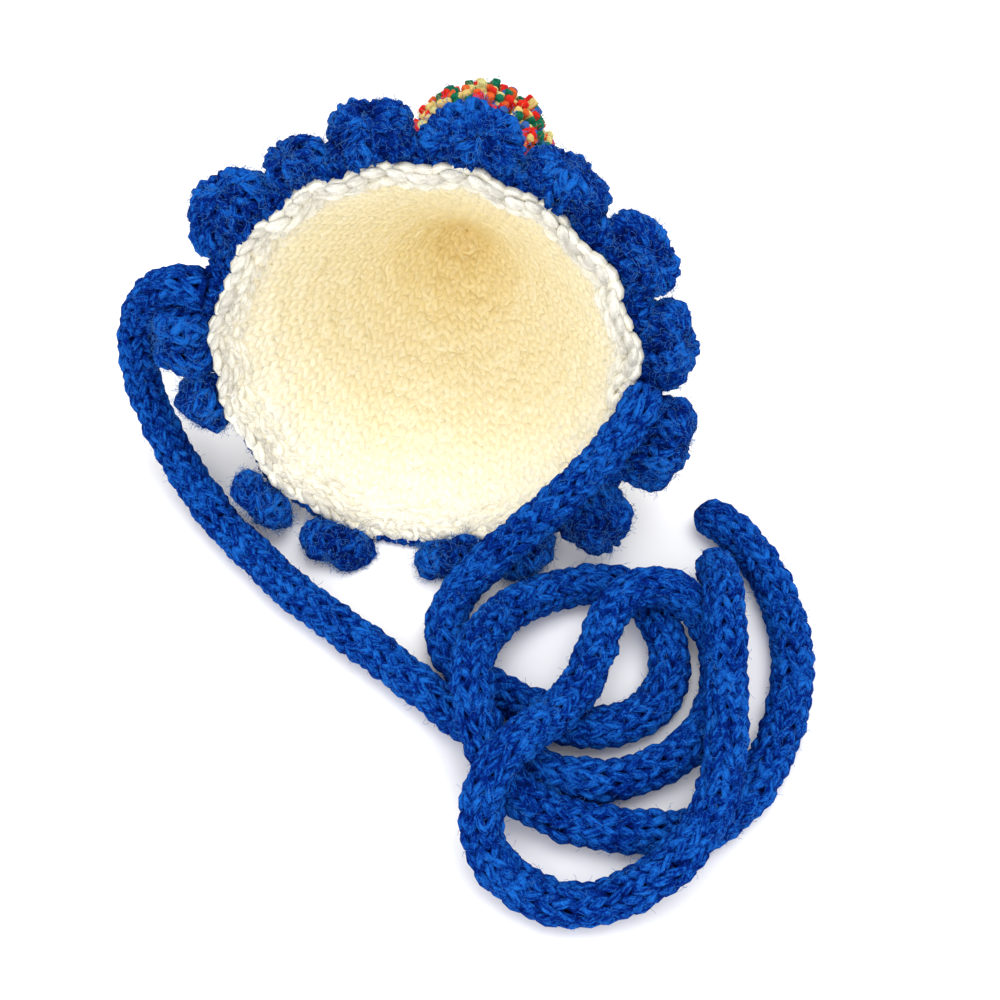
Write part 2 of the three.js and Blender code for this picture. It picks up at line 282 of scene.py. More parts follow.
def fluff(rng, lines, facing, count, length, finish=1):
    """Loose fibres rooted in the yarn, that lie over it or stand out of it and curl."""
    pick = rng.integers(0, len(lines), count)
    out = facing[pick]
    flat = unit(np.cross(out, rng.normal(size=(count, 3))))
    lift = unit(flat + out * rng.uniform(*FIBRE_LIFT, (count, 1)))
    over = unit(np.cross(lift, rng.normal(size=(count, 3))))
    reach = length * rng.uniform(*FIBRE_REACH, (count, 1))
    curl = rng.uniform(*FIBRE_CURL, (count, 1)) * np.linspace(0, 1, FIBRE_POINTS)
    bend = curl[:, -1:]
    rise, fall = np.sin(curl) / bend * reach, (1 - np.cos(curl)) / bend * reach
    root = lines[pick] + out * FIBRE_ROOT
    fibres = root[:, None] + lift[:, None] * rise[:, :, None] + over[:, None] * fall[:, :, None]
    fibres[:, :, 2] = np.maximum(fibres[:, :, 2], FIBRE_LOWEST)
    faces = np.repeat(np.cross(lift, over)[:, None], FIBRE_POINTS, axis=1)
    return strand(fibres, faces, FIBRE_RADIUS, sides=FIBRE_SIDES, finish=finish)


def wool(name, colours, mottle, hair_highlight):
    """Soft wool: streaks along the yarn, stray hairs drawn as pale lines of painted highlight, and patches of
    deeper and paler dye.
    """
    material = bpy.data.materials.new(name)
    material.use_nodes = True
    nodes, links = material.node_tree.nodes, material.node_tree.links
    shader = nodes["Principled BSDF"]
    shader.inputs["Roughness"].default_value = 1.0
    shader.inputs["Specular IOR Level"].default_value = 0.03
    shader.inputs["Sheen Weight"].default_value = 0.02
    shader.inputs["Sheen Roughness"].default_value = 0.5
    shader.inputs["Sheen Tint"].default_value = colours[-1][1]

    def math_node(operation, first, second, third=None, clamp=False):
        node = nodes.new("ShaderNodeMath")
        node.operation = operation
        node.use_clamp = clamp
        for socket, value in zip(node.inputs, (first, second, third)):
            if isinstance(value, (int, float)):
                socket.default_value = value
            elif value is not None:
                links.new(value, socket)
        return node.outputs[0]

    def noise(source, scale, detail, distortion=0.0):
        node = nodes.new("ShaderNodeTexNoise")
        node.inputs["Scale"].default_value = scale
        node.inputs["Detail"].default_value = detail
        node.inputs["Distortion"].default_value = distortion
        links.new(source, node.inputs["Vector"])
        return node.outputs["Fac"]

    yarn_uv = nodes.new("ShaderNodeUVMap")
    yarn_uv.uv_map = "yarn"
    stretched = nodes.new("ShaderNodeMapping")
    stretched.inputs["Scale"].default_value = STREAK_REPEATS
    links.new(yarn_uv.outputs["UV"], stretched.inputs["Vector"])
    streaks = noise(stretched.outputs[0], 1, 3)

    place = nodes.new("ShaderNodeTexCoord").outputs["Object"]
    dye = noise(place, DYE_REPEATS, 2)
    wander = noise(place, HAIR_REPEATS, 2, HAIR_WANDER)
    wander = math_node("ABSOLUTE", math_node("SUBTRACT", wander, 0.5), 0)
    stray = math_node("MULTIPLY_ADD", wander, -HAIR_SLIM, 1, clamp=True)

    tone = nodes.new("ShaderNodeAttribute")
    tone.attribute_name = "tone"
    # Stray hairs make the tone paler: painted highlights of loose fibres
    level = math_node("MULTIPLY_ADD", stray, hair_highlight, tone.outputs["Fac"])
    level = math_node("MULTIPLY_ADD", streaks, STREAK_SHARE * mottle, level)
    level = math_node("MULTIPLY_ADD", dye, DYE_SHARE * mottle, level)
    level = math_node("ADD", level, MIDDLE_TONE - (STREAK_SHARE + DYE_SHARE) / 2 * mottle)
    ramp = nodes.new("ShaderNodeValToRGB")
    for stop, (position, colour) in zip(ramp.color_ramp.elements, (colours[0], colours[-1])):
        stop.position = position
        stop.color = colour
    for position, colour in colours[1:-1]:
        ramp.color_ramp.elements.new(position).color = colour
    links.new(level, ramp.inputs["Fac"])
    links.new(ramp.outputs["Color"], shader.inputs["Base Color"])

    bump = nodes.new("ShaderNodeBump")
    bump.inputs["Strength"].default_value = BUMP_STRENGTH
    bump.inputs["Distance"].default_value = BUMP_HEIGHT
    links.new(math_node("MULTIPLY_ADD", stray, HAIR_BUMP, streaks), bump.inputs["Height"])
    links.new(bump.outputs["Normal"], shader.inputs["Normal"])
    return material


def piece(name, mesh, finishes, slot, *nodes):
    """A finished piece in its place, riding on the hat's one body."""
    made = bpy.data.objects.new(name, mesh)
    for finish in finishes:
        mesh.materials.append(finish)
    bpy.context.collection.objects.link(made)
    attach(made, "root")
    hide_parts(*nodes)
    return made


blue_wool = wool("blue_wool", BLUE_WOOL, mottle=1.15, hair_highlight=0.3)
blue_fluff = wool("blue_fluff", BLUE_FLUFF, mottle=1.0, hair_highlight=0.0)


def knit_tie(name, seed):
    """One tie: a tube of stitches worked round and round along its route."""
    rng = np.random.default_rng(seed)
    line, distance = laid_line(TIE_ROUTES[name])
    side, up = carried_frame(line)
    long = distance[-1]
    count = int((long - TIE_YARN) / TIE_ROW * TIE_STITCHES)
    across, rise, stand = stitch_row(count, closed=False)
    steps = len(across)
    turn = across / TIE_STITCHES * TURN
    place = TIE_ROW * (across / TIE_STITCHES + LOOP_REACH * rise)
    place = np.clip(place + TIE_UNEVEN_ALONG * uneven(rng, count, steps), 0, long - TIE_YARN)
    radius = TIE_RADIUS + TIE_STAND * stand + TIE_UNEVEN_OUT * uneven(rng, count, steps)
    groove = np.maximum(np.cos(turn - TIE_GROOVE_AT), 0) ** TIE_GROOVE_SLIM
    radius -= TIE_GROOVE * groove
    radius *= 1 - STRETCH[name] * np.exp(-((place / STRETCH_REACH) ** 2))
    left = np.clip((long - TIE_YARN - place) / TIE_CLOSED, TIE_END_OPEN, 1)
    radius *= np.sqrt(1 - (1 - left) ** 2)
    swing = turn + TIE_UNEVEN_ROUND * uneven(rng, count, steps)
    facing = unit(
        blend_at(place, distance, side) * np.cos(swing)[:, None]
        + blend_at(place, distance, up) * np.sin(swing)[:, None]
    )
    yarn = blend_at(place, distance, line) + facing * radius[:, None]
    yarn[:, 2] = np.maximum(yarn[:, 2], TIE_LOWEST)
    thick = TIE_YARN * (1 + TIE_UNEVEN_YARN * uneven(rng, count, steps))
    tone = TIE_UNEVEN_DYE * uneven(rng, count, steps) + TIE_STAND_SHADING * stand
    # The core is painted dark, as shade inside the tube
    core_place = np.linspace(TIE_CORE_START, long - TIE_CORE_LEFT, int(long / TIE_CORE_STEP))
    core = blend_at(core_place, distance, line)
    core_facing = blend_at(core_place, distance, up)
    parts = [
        strand(yarn, facing, thick, tone=tone),
        strand(core, core_facing, TIE_CORE, tone=CORE_SHADE_TONE, sides=CORE_SIDES),
        fluff(rng, yarn, facing, TIE_FIBRES, TIE_FLUFF),
    ]
    tie = piece(f"{name}_cord", yarn_mesh(name, parts), [blue_wool, blue_fluff], "tie_knit", name)


knit_tie("tie_left", 11)
knit_tie("tie_right", 12)

# Crown
# A cone of cream wool in stocking stitch, worked round from the mouth in five wedges that narrow to a tip.
# The face with the upright legs of the stitches is inside, over a thin felted layer.
MOUTH_CENTRE = np.array((-1.2, -41.2, 42.4)) * MM
AXIS_DIP = math.radians(28)
OVAL = 0.955  # height of a section for its width
RIM_RADIUS = 49.4 * MM
CROWN_ALONG = np.array((-4, 0, 7, 22, 40, 58, 76, 87, 94.2)) * MM
CROWN_RADIUS = np.array((51.3, 49.4, 46.4, 39, 29.9, 20.5, 11, 5, 0.4)) * MM
TIP_MARK = 92 * MM
TIP_LIFT = 5.2 * MM
TIP_DRIFT = -1.2 * MM
RUFFLE = 0.018  # share of the radius that the bobbles pull the edge out
RUFFLE_REACH = 9 * MM
LYING = 1.75 * MM  # height of the middle of the fabric where it lies on the floor
# Where the bobbles are round the mouth, in degrees from its right side
BOBBLE_ANGLES = (104, 80, 57, 33.5, 10.5, -15, -40, -59, -79, -109.5, -133, -163.5, 179.5, 143.5, 122.5)
CROWN_STITCH = 4.15 * MM
CROWN_ROW = 3.3 * MM
CROWN_ROWS = 31
CROWN_START = 3.4 * MM
CROWN_YARN = 1.6 * MM
CROWN_STAND = 0.34 * MM
FLATTER_BY = 90 * MM  # distance up the crown over which the stitches grow flatter
FLATTEST = 0.4
CROWN_WEDGES = 5
EDGE_ROWS = 3
EDGE_SPREAD = 1.5 * MM  # how far the edge spreads on its right side
EDGE_SPREAD_AT = math.radians(22)
EDGE_SPREAD_REACH = 12 * MM
# How uneven the hand knitting is: round the crown, up it, through it, in the yarn and in its dye
CROWN_UNEVEN_ROUND = 0.05
CROWN_UNEVEN_UP = 0.15 * MM
CROWN_UNEVEN_THROUGH = 0.12 * MM
CROWN_UNEVEN_YARN = 0.05
CROWN_UNEVEN_DYE = 0.04
# Painted highlight where a stitch of the crown rises, and painted shade where it dips
CROWN_STAND_SHADING = 0.05
# Loose fibres on the inside and on the outside
FIBRES_INSIDE = 600
FLUFF_INSIDE = 2.2 * MM
FIBRES_OUTSIDE = 800
FLUFF_OUTSIDE = 2.4 * MM
LINING_OUT = 0.5 * MM  # the thin felted layer between the faces of the fabric
LINING_IN = -0.7 * MM
LINING_TIP_OUT = 95 * MM
LINING_TIP_IN = 93.6 * MM
LINING_LYING = LYING - 0.3 * MM
LINING_STEPS = 90
NEAR_TURN = 0.02  # a small step round the crown
OUTSIDE_SHADE_FINISH = 2  # place of the outside's wool, a darker copy painted as shade, among the crown's finishes
# Cream from its grey end to its deep yellow end: the grey is painted shade on the edge chains, the white
# painted light near the edge, the deep yellow painted shade in the tip
CREAM_WOOL_LIGHT_AND_SHADE = (
    (0.0, (0.55, 0.53, 0.47, 1)), (0.3, (0.935, 0.91, 0.8, 1)), (0.6, (0.96, 0.885, 0.65, 1)),
    (1.0, (0.9, 0.79, 0.47, 1)),
)
# The outside's wool: a darker copy of the cream, painted shade
CREAM_OUTSIDE_SHADED = (
    (0.0, (0.5, 0.485, 0.42, 1)), (0.3, (0.7, 0.68, 0.59, 1)), (0.6, (0.74, 0.7, 0.57, 1)),
    (0.9, (0.77, 0.74, 0.63, 1)),
)
CREAM_FLUFF = ((0.1, (0.8, 0.78, 0.69, 1)), (0.5, (0.92, 0.91, 0.84, 1)))
# Tone in the crown, its painted shade deeper in the tip, and its painted light at the edge, paler where the
# light falls
DEEP_TONE = 0.22
TIP_SHADE_TONE = 0.3
TIP_SHADE_STARTS = 62 * MM
TIP_SHADE_REACH = 35 * MM
LIT_EDGE_TONE = -0.12
LIT_EDGE_REACH = 12 * MM  # how far the painted light at the edge reaches, and how much further on the side it lies on
LIT_LOWER_REACH = 20 * MM
LIT_LOWER_AT = math.radians(-112)

across_mouth = np.array((1.0, 0.0, 0.0))
hat_axis = np.array((0.0, math.cos(AXIS_DIP), -math.sin(AXIS_DIP)))
mouth_rise = np.array((0.0, math.sin(AXIS_DIP), math.cos(AXIS_DIP)))


def ruffle(angle):
    """The edge between neighbouring bobbles: 1 at each of them and -1 half way."""
    marks = np.sort(np.radians(BOBBLE_ANGLES))
    marks = np.concatenate([marks[-1:] - TURN, marks, marks[:1] + TURN])
    angle = (angle + math.pi) % TURN - math.pi
    i = np.clip(np.searchsorted(marks, angle, side="right") - 1, 0, len(marks) - 2)
    return np.cos((angle - marks[i]) / (marks[i + 1] - marks[i]) * TURN)


def hat_point(angle, radius, along):
    """A point of the crown, from its angle round the mouth, radius and distance along the axis."""
    radius = radius * (1 + RUFFLE * ruffle(angle) * np.exp(-np.maximum(along, 0) / RUFFLE_REACH))
    curl = (along / TIP_MARK) ** 2
    sideways = radius * np.cos(angle) + TIP_DRIFT * curl
    upwards = radius * OVAL * np.sin(angle) + TIP_LIFT * curl
    return (
        MOUTH_CENTRE + sideways[..., None] * across_mouth
        + upwards[..., None] * mouth_rise + along[..., None] * hat_axis
    )


crown_slant = np.append(0, np.cumsum(np.hypot(np.diff(CROWN_ALONG), np.diff(CROWN_RADIUS))))
crown_slant -= crown_slant[1]


def crown_point(angle, slant):
    """The middle of the fabric at a distance up the crown from its edge."""
    radius = np.interp(slant, crown_slant, CROWN_RADIUS)
    point = hat_point(angle, radius, np.interp(slant, crown_slant, CROWN_ALONG))
    point[..., 2] = np.maximum(point[..., 2], LYING)
    return point


def crown_inward(angle, slant):
    """Direction from the fabric into the hat."""
    round_step = crown_point(angle + NEAR_TURN, slant) - crown_point(angle - NEAR_TURN, slant)
    tip_step = crown_point(angle, slant + MM) - crown_point(angle, slant - MM)
    return unit(np.cross(round_step, tip_step))


def edge_spread(angle):
    """How far the edge spreads beyond its round shape."""
    return EDGE_SPREAD * np.maximum(np.cos(angle - EDGE_SPREAD_AT), 0)


def crown_tone_and_light(angle, height):
    """How deep the cream is, with painted light and shade: paler towards the edge, above all on the side that
    the hat lies on, and deeper yellow in the tip.
    """
    fades = LIT_EDGE_REACH + LIT_LOWER_REACH * np.maximum(np.cos(angle - LIT_LOWER_AT), 0)
    deep = DEEP_TONE + TIP_SHADE_TONE * np.clip((height - TIP_SHADE_STARTS) / TIP_SHADE_REACH, 0, 1)
    return deep + (LIT_EDGE_TONE - deep) * np.exp(-((height / fades) ** 2))


def crown_row(rng, count, height, thickness, loose):
    """One round of stitches in the crown, with the lines and faces that its loose fibres grow from."""
    across, rise, stand = stitch_row(count, closed=True)
    steps = len(across)
    angle = (across + CROWN_UNEVEN_ROUND * loose * uneven(rng, count, steps)) / count * TURN
    slant = height + CROWN_ROW * LOOP_REACH * rise + CROWN_UNEVEN_UP * loose * uneven(rng, count, steps)
    slant -= edge_spread(angle) * np.clip(1 - height / EDGE_SPREAD_REACH, 0, 1)
    stand_out = CROWN_STAND * max(FLATTEST, 1 - height / FLATTER_BY)
    inward = crown_inward(angle, slant)
    depth = stand_out * stand + CROWN_UNEVEN_THROUGH * loose * uneven(rng, count, steps)
    yarn = crown_point(angle, slant) + inward * depth[:, None]
    yarn[:, 2] = np.maximum(yarn[:, 2], thickness)
    thick = thickness * (1 + CROWN_UNEVEN_YARN * loose * uneven(rng, count, steps))
    tone = crown_tone_and_light(angle, height) + CROWN_UNEVEN_DYE * uneven(rng, count, steps)
    tone += CROWN_STAND_SHADING * stand
    return strand(yarn, inward, thick, True, tone, back=OUTSIDE_SHADE_FINISH), yarn, inward


cream_wool = wool("cream_wool", CREAM_WOOL_LIGHT_AND_SHADE, mottle=0.45, hair_highlight=0.12)
cream_outside_shaded = wool("cream_outside_shaded", CREAM_OUTSIDE_SHADED, mottle=0.7, hair_highlight=0.2)
cream_fluff = wool("cream_fluff", CREAM_FLUFF, mottle=1.0, hair_highlight=0.0)

crown_rng = np.random.default_rng(21)
crown_rows = []
for row in range(EDGE_ROWS, CROWN_ROWS):
    height = CROWN_START + row * CROWN_ROW
    girth = TURN * np.interp(height, crown_slant, CROWN_RADIUS)
    count = CROWN_WEDGES * max(1, round(girth / CROWN_STITCH / CROWN_WEDGES))
    crown_rows.append(crown_row(crown_rng, count, height, CROWN_YARN, loose=1.0))
crown_parts, crown_lines, crown_faces = (list(kind) for kind in zip(*crown_rows))
crown_lines, crown_faces = np.concatenate(crown_lines), np.concatenate(crown_faces)
crown_parts.append(fluff(crown_rng, crown_lines, crown_faces, FIBRES_INSIDE, FLUFF_INSIDE))
crown_parts.append(fluff(crown_rng, crown_lines, -crown_faces, FIBRES_OUTSIDE, FLUFF_OUTSIDE))
crown_mesh = yarn_mesh("crown", crown_parts)

# The felted layer joins the knitting: its section is spun round an axis and then bent to the crown's shape
crown_bm = bmesh.new()
crown_bm.from_mesh(crown_mesh)
knit_count = len(crown_bm.verts)
tone_layer = crown_bm.verts.layers.float["tone"]
wall = list(zip(CROWN_RADIUS, CROWN_ALONG))[1:-1]
section = [(radius + LINING_OUT, along) for radius, along in wall]
section += [(0, LINING_TIP_OUT), (0, LINING_TIP_IN)]
section += [(radius + LINING_IN, along) for radius, along in reversed(wall)]
corners = [crown_bm.verts.new((radius, 0, along)) for radius, along in section]
edges = [crown_bm.edges.new(pair) for pair in zip(corners, corners[1:] + corners[:1])]
bmesh.ops.spin(
    crown_bm, geom=corners + edges, cent=(0, 0, 0), axis=(0, 0, 1), angle=TURN, steps=LINING_STEPS,
    use_merge=True,
)
crown_bm.verts.ensure_lookup_table()
lining = crown_bm.verts[knit_count:]
bmesh.ops.remove_doubles(crown_bm, verts=lining, dist=1e-6)
crown_bm.verts.ensure_lookup_table()
lining = crown_bm.verts[knit_count:]
for corner in lining:
    x, y, along = corner.co
    place = hat_point(np.array(math.atan2(y, x)), np.array(math.hypot(x, y)), np.array(along))
    place[2] = max(place[2], LINING_LYING)
    corner.co = place
    corner[tone_layer] = DEEP_TONE
lining_faces = list({face for corner in lining for face in corner.link_faces})
bmesh.ops.recalc_face_normals(crown_bm, faces=lining_faces)
for face in lining_faces:
    face.smooth = True
crown_bm.to_mesh(crown_mesh)
crown_bm.free()
piece("crown_fabric", crown_mesh, [cream_wool, cream_fluff, cream_outside_shaded], "crown_knit", "crown")

# Edge of the crown
# The same cream wool round the mouth: four loose rows, and over them three chains of short plump loops.
# The chains are thick and ragged round the top of the mouth, and neat where it lies on the floor.
EDGE_LOOSE = 1.8  # how uneven its rows are for the crown's
EDGE_FIRST_YARN = CROWN_YARN * 0.8
CHAIN_AT = np.array((-0.4, 2.2, 5.0)) * MM  # distance of each chain from the edge
CHAIN_TURN = (1.6, 0.5, 0.1)  # how far each faces out of the mouth instead of across it
CHAIN_PROUD = (1.0, 0.85, 0.55)
# Grey painted shade on each chain, deepest at the edge
CHAIN_SHADE_TONE = (-0.34, -0.24, -0.16)
CHAIN_LOOPS = 68
CHAIN_YARN = 1.2 * MM
CHAIN_OPEN = 2.2 * MM  # how far each leg of a loop parts from the middle of its chain
CHAIN_SPAN = 1.15  # length of a loop for the distance between loops
CHAIN_STEPS = np.linspace(0, 1, 8)
CHAIN_ENDS = 0.07  # share of a loop that its ends lack, so that they aren't drawn to a point
CHAIN_SIDES = 8
CHAIN_LOWEST = 0.7 * MM
CHAIN_RISE = 1.5 * MM
RAGGED_AT = math.radians(70)
NEATEST = 0.4
# How uneven the loops are: where they start, their length, how far they part, their place, their height,
# their yarn and its dye
LOOP_UNEVEN_START = 0.16
LOOP_UNEVEN_SPAN = 0.15
LOOP_UNEVEN_OPEN = 0.3
LOOP_UNEVEN_PLACE = 0.4 * MM
LOOP_UNEVEN_RISE = 0.35
LOOP_UNEVEN_YARN = 0.08
LOOP_UNEVEN_DYE = 0.05
EDGE_FIBRES = 3600
EDGE_FLUFF = 3.4 * MM
EDGE_CORE = 1.5 * MM
RIM_STEPS = 150

edge_rng = np.random.default_rng(23)
edge_rows = []
for row in range(-1, EDGE_ROWS):
    height = CROWN_START + row * CROWN_ROW
    count = round(TURN * np.interp(height, crown_slant, CROWN_RADIUS) / CROWN_STITCH)
    thickness = CROWN_YARN if row >= 0 else EDGE_FIRST_YARN
    edge_rows.append(crown_row(edge_rng, count, height, thickness, EDGE_LOOSE))
edge_parts, edge_lines, edge_faces = (list(kind) for kind in zip(*edge_rows))
plump = np.sin(math.pi * (CHAIN_ENDS + (1 - 2 * CHAIN_ENDS) * CHAIN_STEPS))
chains = zip(CHAIN_AT, CHAIN_TURN, CHAIN_PROUD, CHAIN_SHADE_TONE)
for chain, (chain_at, turned, proud, tone) in enumerate(chains):
    for leg in (-1, 1):
        change = edge_rng.normal(size=(6, CHAIN_LOOPS, 1))
        start = np.arange(CHAIN_LOOPS)[:, None] + 0.5 * chain + LOOP_UNEVEN_START * change[0]
        angle = (start + (CHAIN_SPAN + LOOP_UNEVEN_SPAN * change[1]) * CHAIN_STEPS) / CHAIN_LOOPS * TURN
        ragged = NEATEST + (1 - NEATEST) * np.clip(0.5 + 0.9 * np.cos(angle - RAGGED_AT), 0, 1)
        parting = leg * (0.1 + 0.9 * CHAIN_STEPS) * CHAIN_OPEN * (1 + LOOP_UNEVEN_OPEN * change[2])
        slant = chain_at - edge_spread(angle) + parting + LOOP_UNEVEN_PLACE * ragged * change[3]
        facing = unit(crown_inward(angle, slant) - turned * hat_axis)
        rise = 0.3 + 0.7 * plump + LOOP_UNEVEN_RISE * change[4]
        depth = CHAIN_LOWEST + CHAIN_RISE * proud * ragged * rise
        loops = crown_point(angle, slant) + facing * depth[..., None]
        thick = CHAIN_YARN * (0.8 + 0.25 * ragged + LOOP_UNEVEN_YARN * change[5]) * plump**0.55
        # The chain's tone is painted shade, with uneven dye
        dye_and_shade = tone + LOOP_UNEVEN_DYE * change[4]
        edge_parts.append(strand(loops, facing, thick, tone=dye_and_shade, sides=CHAIN_SIDES))
        edge_lines.append(loops.reshape(-1, 3))
        edge_faces.append(facing.reshape(-1, 3))
edge_lines, edge_faces = np.concatenate(edge_lines), np.concatenate(edge_faces)
edge_parts.append(fluff(edge_rng, edge_lines, edge_faces, EDGE_FIBRES, EDGE_FLUFF))
# A grey core under the chains, painted shade between the loops
core_angle = np.linspace(0, TURN, RIM_STEPS, endpoint=False)
core_slant = -edge_spread(core_angle)
core_line, core_facing = crown_point(core_angle, core_slant), crown_inward(core_angle, core_slant)
edge_parts.append(strand(core_line, core_facing, EDGE_CORE, True, CHAIN_SHADE_TONE[0]))
edge_mesh = yarn_mesh("crown_edge", edge_parts)
piece("crown_edge", edge_mesh, [cream_wool, cream_fluff, cream_outside_shaded], "crown_knit", "crown")

# Edging band
# A plump band in the blue wool, picked up round the edge of the mouth and worked outwards from it.
# It is full round the top of the mouth, and thin and tucked under the edge where the hat lies down.
FLOOR_LEAN = math.radians(62)  # how far the edging leans out of the mouth where it meets the floor
LEAN_STARTS = 0.5
LEAN_ENDS = 0.92
RIM_LOWEST = 1.4 * MM
BAND_LOWEST = 1.2 * MM
BAND_STITCHES = 82
BAND_YARN = 1.1 * MM
BAND_STAND = 0.7 * MM
BAND_LOOP_REACH = 0.55  # in radians on the band's own roll
BAND_ROUNDS = np.radians((220, 172, 124, 76, 28, -20, -68))  # where each round lies on that roll
# Angle round the mouth, and how full the band is there
BAND_FULL = np.array(
    [(-180, 0.55), (-165, 0.3), (-156, 0), (-138, 0), (-118, 0.1), (-95, 0.15), (-70, 0.2), (-52, 0.6),
     (-30, 1), (150, 1), (168, 0.8), (180, 0.55)]
)
# Sizes in millimetres where the band is thin, and how much they change to where it is full: its distance
# from the rim and through the edging, the radius of its roll, and the radius of the dark core inside, painted
# as shade between the stitches
BAND_AWAY = (1.2, 3.0)
BAND_THROUGH = (2.2, -1.5)
BAND_ROLL = (0.6, 2.1)
BAND_CORE = (0.6, 1.9)
BAND_CORE_SUNK = 1.0 * MM
BAND_CORE_SUNK_FULL = 1.7 * MM
# How uneven the hand knitting is: round the mouth, out from the band, round its roll and in the dye
BAND_UNEVEN_ROUND = 0.12
BAND_UNEVEN_OUT = 0.35 * MM
BAND_UNEVEN_ROLL = 0.12
BAND_UNEVEN_DYE = 0.06
# Painted highlight where a stitch of the band rises, and painted shade where it dips
BAND_STAND_SHADING = 0.1
BAND_FIBRES = 4500
BAND_FLUFF = 2.8 * MM


def rim_frame(angle):
    """On the rim: its place, and the directions along it, away from it and through the edging."""
    start = hat_point(angle, np.full_like(angle, RIM_RADIUS), np.zeros_like(angle))
    start[..., 2] = np.maximum(start[..., 2], RIM_LOWEST)
    cos, sin = np.cos(angle)[..., None], np.sin(angle)[..., None]
    along = unit(-sin * across_mouth + OVAL * cos * mouth_rise)
    radial = unit(OVAL * cos * across_mouth + sin * mouth_rise)
    lean = FLOOR_LEAN * np.clip((-sin - LEAN_STARTS) / (LEAN_ENDS - LEAN_STARTS), 0, 1)
    out = np.cos(lean) * radial - np.sin(lean) * hat_axis
    return start, along, out, np.cross(along, out)


def band_full(angle):
    """How full the band is at an angle round the mouth."""
    return np.interp((np.degrees(angle) + 180) % 360 - 180, BAND_FULL[:, 0], BAND_FULL[:, 1])


def band_size(size, full):
    """One of the band's sizes, where it is that full."""
    thin, change = size
    return (thin + change * full) * MM


def band_place(angle, roll, proud):
    """A point on the band's roll, and the way it faces there."""
    start, along, out, through = rim_frame(angle)
    full = band_full(angle)
    away = band_size(BAND_AWAY, full) + edge_spread(angle)
    middle = start + out * away[:, None] + through * band_size(BAND_THROUGH, full)[:, None]
    facing = out * np.cos(roll)[:, None] + through * np.sin(roll)[:, None]
    point = middle + facing * (band_size(BAND_ROLL, full) + proud)[:, None]
    point[:, 2] = np.maximum(point[:, 2], BAND_LOWEST)
    return point, facing


band_rng = np.random.default_rng(31)
band_parts, band_lines, band_faces = [], [], []
for row, roll in enumerate(BAND_ROUNDS):
    across, rise, stand = stitch_row(BAND_STITCHES, closed=True)
    steps = len(across)
    shift = 0.5 * row + BAND_UNEVEN_ROUND * uneven(band_rng, BAND_STITCHES, steps)
    angle = (across + shift) / BAND_STITCHES * TURN
    proud = BAND_STAND * stand + BAND_UNEVEN_OUT * uneven(band_rng, BAND_STITCHES, steps)
    rolled = roll + BAND_LOOP_REACH * rise + BAND_UNEVEN_ROLL * uneven(band_rng, BAND_STITCHES, steps)
    yarn, facing = band_place(angle, rolled, proud)
    tone = BAND_UNEVEN_DYE * uneven(band_rng, BAND_STITCHES, steps) + BAND_STAND_SHADING * stand
    band_parts.append(strand(yarn, facing, BAND_YARN, True, tone))
    band_lines.append(yarn)
    band_faces.append(facing)
# A dark core along the band, painted shade between the stitches
core_line, core_facing = band_place(core_angle, np.zeros(RIM_STEPS), np.full(RIM_STEPS, -BAND_CORE_SUNK))
core_full = band_full(core_angle)
core_line -= core_facing * (BAND_CORE_SUNK_FULL * core_full)[:, None]
core_radius = band_size(BAND_CORE, core_full)
band_parts.append(strand(core_line, core_facing, core_radius, True, CORE_SHADE_TONE, sides=CORE_SIDES))
band_lines, band_faces = np.concatenate(band_lines), np.concatenate(band_faces)
band_parts.append(fluff(band_rng, band_lines, band_faces, BAND_FIBRES, BAND_FLUFF))
band_mesh = yarn_mesh("edging_band", band_parts)
piece("edging_fabric", band_mesh, [blue_wool, blue_fluff], "edging_knit", "edging_band")

# Bobbles
# Fifteen soft knitted knobs in the blue wool, worked on the band close together and drawn in at the top.
# Each is full and lumpy, and the ones under the hat are pressed against the floor.
BOBBLE_ROOT = 5.4 * MM  # distance of its foot from the rim
BOBBLE_FULLNESS = 2.25  # 2 is an egg's shape, and more is squarer
BOBBLE_REST = 3.6 * MM  # height of its middle where it lies on the floor
BOBBLE_LOWEST = 1.3 * MM
BOBBLE_YARN = 1.1 * MM
BOBBLE_INSET = 1.0 * MM  # from its outside to the middle of the yarn
BOBBLE_STITCH = 3.8 * MM
BOBBLE_ROW = 3.0 * MM
BOBBLE_STAND = 0.75 * MM
BOBBLE_FLARE = 0.3  # how much wider the foot is than a plain pad's
BOBBLE_LUMPS = 0.55 * MM
LUMP_WAVES = (700, 800, 750)  # in radians for a metre
BOBBLE_DIMPLE = 1.6 * MM
DIMPLE_SPREAD = 0.4
BOBBLE_TWIST = 0.4  # in radians from one round to the next
BOBBLE_RINGS = 60
BOBBLE_TURNS = np.linspace(0, TURN, 24, endpoint=False)
ROUND_END = 0.2 * MM  # what the yarn keeps away from the middle of the top and the foot
# How uneven the hand knitting is: round the bobble, down it, out from it, in the yarn and in its dye
BOBBLE_UNEVEN_ROUND = 0.18
BOBBLE_UNEVEN_DOWN = 0.45 * MM
BOBBLE_UNEVEN_OUT = 0.35 * MM
BOBBLE_UNEVEN_YARN = 0.1
BOBBLE_UNEVEN_DYE = 0.08
# Painted highlight where a stitch or a lump rises, and painted shade where it dips
BOBBLE_STAND_SHADING = 0.14
BOBBLE_LUMP_SHADING = 0.07
BOBBLE_CORE_INSET = 0.8 * MM
BOBBLE_CORE_LOWEST = 0.9 * MM
BOBBLE_FIBRES = 1100
BOBBLE_FLUFF = 3.2 * MM
